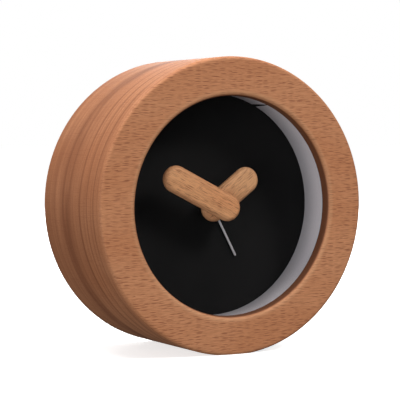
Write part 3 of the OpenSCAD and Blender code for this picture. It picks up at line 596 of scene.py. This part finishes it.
spacer_profile = []
for k in range(15):
    spacer_profile.append((spacer_in, spacer_high.y + (spacer_low.y - spacer_high.y) * k / 14))
spacer_profile += [(lens_r, spacer_low.y), (lens_r, spacer_high.y)]
seam_end = seam_at + 360.0 - 1e-4
spacer = lathe("spacer_strip", spacer_profile, STRIP_STEPS, seam_at, seam_end, shape=taper_seam)
dress(spacer, "pale_plastic")
# painted shade: the two cut ends get the black dial material, standing for the shade inside the
# seam
spacer.data.materials.append(MATERIALS["black_dial"])
for face in spacer.data.polygons:
    if len(face.vertices) > 4:
        face.material_index = 1
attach(spacer, "case")
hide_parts("spacer_ring")

dial_hole_r = 4.0 * MM
dial_edge = 0.08 * MM
dial = disc("dial_disc", dial_r, dial_low.y, dial_high.y, dial_hole_r, dial_edge)
dress(dial, "black_dial")
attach(dial, "case")
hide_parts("dial")

lens_edge = 0.25 * MM
lens = disc("lens_disc", lens_r, lens_low.y, lens_high.y, 0.0, lens_edge)
dress(lens, "clear_lens")
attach(lens, "case")
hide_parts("lens")

# ---------------------------------------------------------------- hands


def on_axis(y, angle):
    """Place on the clock axis at depth y, turned so that X points to angle degrees."""
    return Matrix.Translation((0, y, axis_z)) @ Matrix.Rotation(-math.radians(angle), 4, "Y")


def drill(ob, radius, y0, y1):
    """Round hole along y through a piece that still lies at the origin."""
    bm = bmesh.new()
    turn = Matrix.Translation((0, (y0 + y1) / 2, 0)) @ Matrix.Rotation(math.pi / 2, 4, "X")
    bmesh.ops.create_cone(
        bm, cap_ends=True, segments=64, radius1=radius, radius2=radius, depth=y1 - y0, matrix=turn
    )
    cutter = new_object("cutter", bm)
    mod = ob.modifiers.new("hole", "BOOLEAN")
    mod.operation = "DIFFERENCE"
    mod.solver = "EXACT"
    mod.object = cutter
    mesh = bpy.data.meshes.new_from_object(ob.evaluated_get(bpy.context.evaluated_depsgraph_get()))
    ob.modifiers.remove(mod)
    ob.data = mesh
    bpy.data.objects.remove(cutter)
    mesh.set_sharp_from_angle(angle=math.radians(60))


hand_half = 5.0 * MM
hand_tail = 2.0 * MM
hand_soft = 1.85 * MM
hand_crown = 0.16 * MM
lower_soft = hand_soft * 0.86
bush_depth = 2.5 * MM

# where each wooden hand points at rest, in degrees from +X, how far the centre of its round
# end reaches, and the radius of the seat for its bush
minute_angle = 153.3
minute_reach = 22.3 * MM
minute_bush_r = 3.05 * MM
hour_angle = 37.0
hour_reach = 15.1 * MM
hour_bush_r = 3.8 * MM
hour_through_r = 2.1 * MM


def wooden_hand(name, node, angle, reach, material, body, bush_r, through_r=0.0):
    """Pebble-like hand: a stadium with soft edges and a slight crown, lofted ring by ring."""
    low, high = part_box(node)
    thick = high.y - low.y
    shoulder = thick - hand_crown
    outline = stadium(reach, hand_tail, hand_half, 28)
    # (inset from the outline, height above the lower face), lower face first
    layers = []
    for k in range(9):
        a = math.radians(90 * k / 8)
        layers.append((lower_soft * (1 - math.sin(a)), lower_soft * (1 - math.cos(a))))
    for k in range(11):
        a = math.radians(90 * k / 10)
        layers.append((hand_soft * (1 - math.cos(a)), shoulder - hand_soft * (1 - math.sin(a))))
    for k in range(1, 7):
        part = k / 7
        inset = hand_soft + (hand_half - hand_soft) * part
        layers.append((inset, shoulder + hand_crown * math.sin(math.radians(90 * part))))
    bm = bmesh.new()
    rings = []
    for inset, up in layers:
        ring = []
        for x, z, nx, nz in outline:
            ring.append(bm.verts.new((x - nx * inset, -up, z - nz * inset)))
        rings.append(ring)
    n = len(outline)
    for a, b in zip(rings, rings[1:]):
        for k in range(n):
            m = (k + 1) % n
            bm.faces.new((a[k], a[m], b[m], b[k]))
    bm.faces.new(rings[-1])
    bm.faces.new(list(reversed(rings[0])))
    ob = new_object(name, bm, 60.0)
    drill(ob, bush_r, -bush_depth, MM)
    if through_r:
        drill(ob, through_r, -thick - MM, MM)
    ob.matrix_world = on_axis(high.y, angle)
    dress(ob, "beech_hands", material)
    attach(ob, body)
    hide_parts(node)
    return ob


wooden_hand(
    "minute_hand_wood", "minute_hand", minute_angle, minute_reach, beech_minute, "minute",
    minute_bush_r,
)
wooden_hand(
    "hour_hand_wood", "hour_hand", hour_angle, hour_reach, beech_hour, "hour",
    hour_bush_r, hour_through_r,
)

# thin alarm hand: a bar with a crowned top and a rounded tip, over a small hub
alarm_angle = -62.0
alarm_reach = 22.3 * MM
alarm_half = 0.4 * MM
alarm_side = 0.55
bm = bmesh.new()
sections = [3.6, 4.5, 8.0, 12.0, 16.0, 19.0, 21.0, 21.7, 22.05, 22.2, 22.3]
rings = []
for section in sections:
    x = section * MM
    tip = max(0.0, (x - (alarm_reach - alarm_half)) / alarm_half)
    w = alarm_half * math.sqrt(max(0.02, 1 - tip * tip))
    h = alarm_high.y - alarm_low.y
    ring = []
    for k in range(9):
        a = math.pi * k / 8
        up = h * (alarm_side + (1 - alarm_side) * math.sin(a))
        ring.append(bm.verts.new((x, -up, -w * math.cos(a))))
    ring.append(bm.verts.new((x, 0.0, w)))
    ring.append(bm.verts.new((x, 0.0, -w)))
    rings.append(ring)
for a, b in zip(rings, rings[1:]):
    for k in range(len(a)):
        m = (k + 1) % len(a)
        bm.faces.new((a[k], a[m], b[m], b[k]))
bm.faces.new(rings[-1])
bm.faces.new(list(reversed(rings[0])))
alarm = new_object("alarm_hand_bar", bm, 50.0)
alarm.matrix_world = on_axis(alarm_high.y, alarm_angle)
dress(alarm, "satin_aluminium")
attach(alarm, "alarm")
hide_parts("alarm_hand")

hub_r = 4.3 * MM
hub_hole_r = 3.46 * MM
hub_edge = 0.1 * MM
alarm_hub = disc("alarm_hand_hub", hub_r, alarm_low.y, alarm_high.y, hub_hole_r, hub_edge, 64)
dress(alarm_hub, "black_plastic")
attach(alarm_hub, "alarm")

# ---------------------------------------------------------------- back of the clock

EDGE_WIDTHS = {
    "rear_cover": 0.2,
    "battery_door": 0.25,
    "time_set_knob": 0.2,
    "alarm_set_knob": 0.2,
    "alarm_switch": 0.15,
    "cover_screws": 0.12,
}
for node, width in EDGE_WIDTHS.items():
    bevelled(node, width * MM)

# ---------------------------------------------------------------- floor, light and camera

bm = bmesh.new()
floor_rings = []
FLOOR_STEPS = 64
FLOOR_GLOW = 0.72
for r in (0.0001, 0.2, 0.5, 1.0, 2.0, 4.0, 8.0):
    ring = []
    for t in range(FLOOR_STEPS):
        turn = 2 * math.pi * t / FLOOR_STEPS
        ring.append(bm.verts.new((r * math.cos(turn), r * math.sin(turn), 0)))
    floor_rings.append(ring)
for a, b in zip(floor_rings, floor_rings[1:]):
    for k in range(FLOOR_STEPS):
        m = (k + 1) % FLOOR_STEPS
        bm.faces.new((a[k], a[m], b[m], b[k]))
floor = new_object("floor", bm)
g = Graph("floor_paint")
p = g.millimetres()
cloud = g.noise(p, 0.004, 2.0)[0]
g.set(color=g.mix(cloud, (0.8, 0.8, 0.8, 1), (0.84, 0.84, 0.84, 1)), rough=0.8, spec=0.1)
g.bsdf.inputs["Emission Color"].default_value = (1, 1, 1, 1)
g.bsdf.inputs["Emission Strength"].default_value = FLOOR_GLOW
floor.data.materials.append(g.mat)
floor.visible_diffuse = False
floor.visible_glossy = False
floor.visible_shadow = False

scene = bpy.context.scene
scene.view_settings.view_transform = "Standard"

# white backdrop for the camera, and a dome that is brighter above for the light itself
world = bpy.data.worlds.new("studio")
scene.world = world
world.use_nodes = True
tree = world.node_tree
tree.nodes.clear()
out = tree.nodes.new("ShaderNodeOutputWorld")
dome = tree.nodes.new("ShaderNodeBackground")
paper = tree.nodes.new("ShaderNodeBackground")
pick = tree.nodes.new("ShaderNodeMixShader")
path = tree.nodes.new("ShaderNodeLightPath")
direction = tree.nodes.new("ShaderNodeTexCoord")
height = tree.nodes.new("ShaderNodeSeparateXYZ")
fade = tree.nodes.new("ShaderNodeMapRange")
fade.inputs["From Min"].default_value = -0.5
fade.inputs["From Max"].default_value = 1.0
fade.inputs["To Min"].default_value = 0.05
fade.inputs["To Max"].default_value = 0.45
paper.inputs["Strength"].default_value = 1.0
paper.inputs["Color"].default_value = (1, 1, 1, 1)
dome.inputs["Color"].default_value = (1, 1, 1, 1)
tree.links.new(direction.outputs["Generated"], height.inputs[0])
tree.links.new(height.outputs["Z"], fade.inputs["Value"])
tree.links.new(fade.outputs["Result"], dome.inputs["Strength"])
tree.links.new(path.outputs["Is Camera Ray"], pick.inputs[0])
tree.links.new(dome.outputs[0], pick.inputs[1])
tree.links.new(paper.outputs[0], pick.inputs[2])
tree.links.new(pick.outputs[0], out.inputs["Surface"])


def area(name, toward, distance, size, power, colour=(1, 1, 1)):
    """Round soft light in the direction toward, aimed at the clock."""
    data = bpy.data.lights.new(name, "AREA")
    data.shape = "DISK"
    data.size = size
    data.energy = power
    data.color = colour
    ob = bpy.data.objects.new(name, data)
    scene.collection.objects.link(ob)
    ob.location = clock_centre + Vector(toward).normalized() * distance
    ob.rotation_mode = "QUATERNION"
    ob.rotation_quaternion = Vector(toward).to_track_quat("Z", "Y")
    return ob


clock_centre = Vector((0, 0, axis_z))
area("key", (0.45, -0.6, 0.7), 1.0, 0.28, 4.9, (1.0, 0.985, 0.96))
area("top", (-0.2, 0.12, 1.0), 0.9, 0.5, 7.8)
area("fill", (-0.95, -0.55, -0.1), 1.1, 0.8, 5.6)
rear = area("rear", (0.45, 1.0, 0.2), 1.1, 0.6, 5.0)
rear.data.specular_factor = 0.3

# the camera's distance and its small offsets, in case radii
VIEW_DISTANCE = 11.08
VIEW_LEFT = 0.0205
VIEW_UP = 0.026
# degrees to the clock's left and above it, and the lens and film width in millimetres
VIEW_AZIMUTH = 28.4
VIEW_ELEVATION = 2.4
LENS = 144.1
FILM_WIDTH = 36.0
azimuth, elevation = math.radians(VIEW_AZIMUTH), math.radians(VIEW_ELEVATION)
level = math.cos(elevation)
back = Vector((-math.sin(azimuth) * level, -math.cos(azimuth) * level, math.sin(elevation)))
right = Vector((math.cos(azimuth), -math.sin(azimuth), 0))
up = back.cross(right)
camera_data = bpy.data.cameras.new("camera")
camera_data.lens = LENS
camera_data.sensor_width = FILM_WIDTH
camera_data.clip_start = 0.01
camera = bpy.data.objects.new("camera", camera_data)
scene.collection.objects.link(camera)
camera.location = clock_centre + case_r * (back * VIEW_DISTANCE - right * VIEW_LEFT + up * VIEW_UP)
camera.rotation_mode = "QUATERNION"
camera.rotation_quaternion = Matrix((right, up, back)).transposed().to_quaternion()
scene.camera = camera
